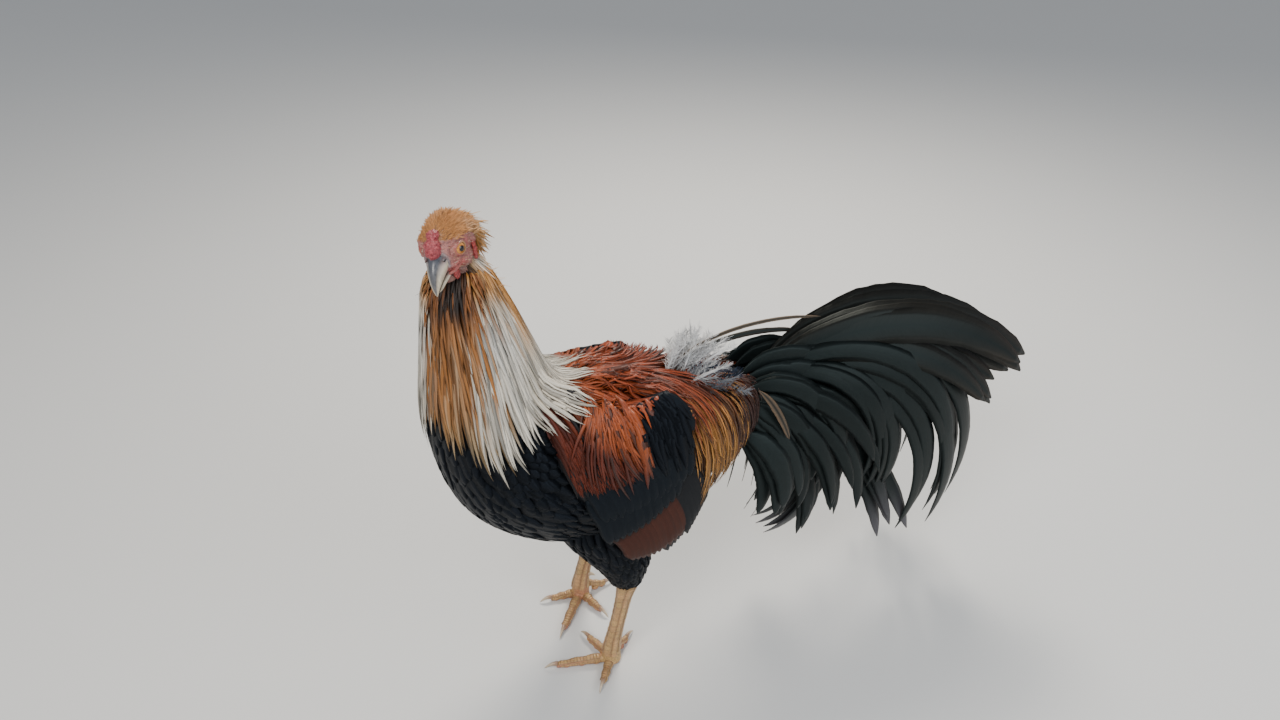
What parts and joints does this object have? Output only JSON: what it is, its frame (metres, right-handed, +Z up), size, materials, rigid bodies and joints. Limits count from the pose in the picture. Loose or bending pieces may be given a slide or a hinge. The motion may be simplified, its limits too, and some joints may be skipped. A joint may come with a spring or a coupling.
{
  "type": "tan chau chicken cock",
  "caption": "Life-size still model of a tan chau game-type cock, standing with its head turned and its long sickle tail arching back and down.",
  "frame": {"origin": "on the floor under the middle of the whole model's box", "axes": "+X towards the bird's breast, +Y to the bird's left, +Z up"},
  "size_m": [0.6703, 0.1976, 0.5066],
  "materials": {
    "hackle": "satin feathers",
    "body": "satin feathers",
    "wing": "satin feathers",
    "tail": "glossy feathers",
    "skin": "matte skin",
    "comb": "satin skin",
    "lobe": "matte skin",
    "beak": "satin horn",
    "eye": "wet gloss",
    "leg": "satin scales",
    "claw": "satin horn"
  },
  "bodies": {
    "root": {"torso": "body", "neck": "hackle", "head": "skin", "beak_upper": "beak", "beak_lower": "beak", "comb": "comb", "earlobe_left": "lobe", "earlobe_right": "lobe", "wattle_left": "comb", "wattle_right": "comb", "eye_left": "eye", "eye_right": "eye", "wing_left": "wing", "wing_right": "wing", "thigh_left": "body", "thigh_right": "body", "shank_left": "leg", "shank_right": "leg", "toe_middle_left": "leg", "toe_outer_left": "leg", "toe_inner_left": "leg", "toe_back_left": "leg", "toe_middle_right": "leg", "toe_outer_right": "leg", "toe_inner_right": "leg", "toe_back_right": "leg", "claw_middle_left": "claw", "claw_outer_left": "claw", "claw_inner_left": "claw", "claw_back_left": "claw", "claw_middle_right": "claw", "claw_outer_right": "claw", "claw_inner_right": "claw", "claw_back_right": "claw", "tail": "tail"}
  },
  "joints": []
}
